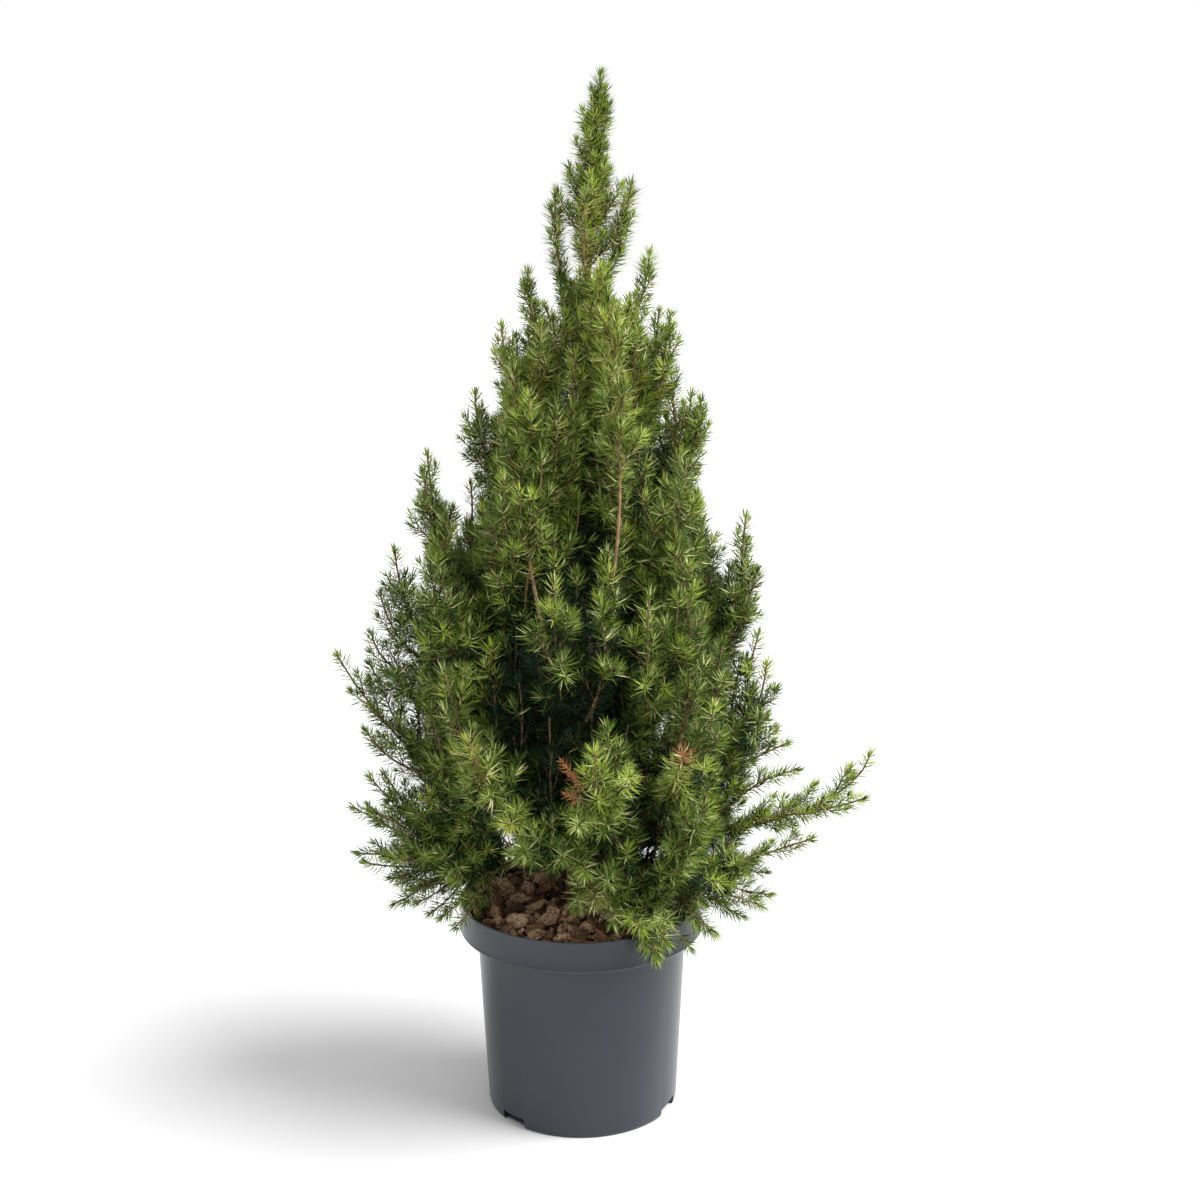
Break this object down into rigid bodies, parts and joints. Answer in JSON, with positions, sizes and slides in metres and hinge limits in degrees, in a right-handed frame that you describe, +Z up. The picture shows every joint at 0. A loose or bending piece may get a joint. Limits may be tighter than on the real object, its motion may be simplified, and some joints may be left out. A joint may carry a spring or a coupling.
{
  "type": "potted Alberta spruce",
  "caption": "Young cone-shaped Alberta spruce with upright needled plumes on a tapering trunk, growing in bark-covered soil in a round tapered plastic nursery pot.",
  "frame": {"origin": "centre of the pot's flat underside", "axes": "+Z up along the pot's axis, -Y towards the plant's front, +X to the right seen from the front"},
  "size_m": [0.5226, 0.4171, 1.0101],
  "materials": {
    "pot_plastic": "satin",
    "bark_mulch": "rough",
    "bark": "rough",
    "needles": "soft"
  },
  "bodies": {
    "root": {"pot": "pot_plastic", "soil": "bark_mulch", "trunk": "bark", "bough_middle_1": "bark", "bough_middle_2": "bark", "bough_middle_3": "bark", "bough_middle_4": "bark", "bough_middle_5": "bark", "bough_middle_6": "bark", "bough_lower_1": "bark", "bough_lower_2": "bark", "bough_lower_3": "bark", "bough_lower_4": "bark", "bough_lower_5": "bark", "bough_left_arm": "bark", "bough_left_skirt": "bark", "bough_front_skirt": "bark", "bough_hanging_tuft": "bark", "bough_right_arm": "bark", "bough_right_skirt": "bark", "bough_back_skirt": "bark", "mass_leader": "needles", "mass_top_1": "needles", "mass_top_2": "needles", "mass_top_3": "needles", "mass_upper_1": "needles", "mass_upper_2": "needles", "mass_upper_3": "needles", "mass_upper_4": "needles", "mass_neck_1": "needles", "mass_neck_2": "needles", "mass_neck_3": "needles", "mass_shoulder_1": "needles", "mass_shoulder_2": "needles", "mass_shoulder_3": "needles", "mass_shoulder_4": "needles", "mass_shoulder_5": "needles", "mass_waist_1": "needles", "mass_waist_2": "needles", "mass_waist_3": "needles", "mass_waist_4": "needles", "mass_waist_5": "needles", "mass_middle_1": "needles", "mass_middle_2": "needles", "mass_middle_3": "needles", "mass_middle_4": "needles", "mass_middle_5": "needles", "mass_middle_6": "needles", "mass_lower_1": "needles", "mass_lower_2": "needles", "mass_lower_3": "needles", "mass_lower_4": "needles", "mass_lower_5": "needles", "mass_left_arm": "needles", "mass_left_skirt": "needles", "mass_front_skirt": "needles", "mass_hanging_tuft": "needles", "mass_right_arm": "needles", "mass_right_skirt": "needles", "mass_back_skirt": "needles"}
  },
  "joints": []
}
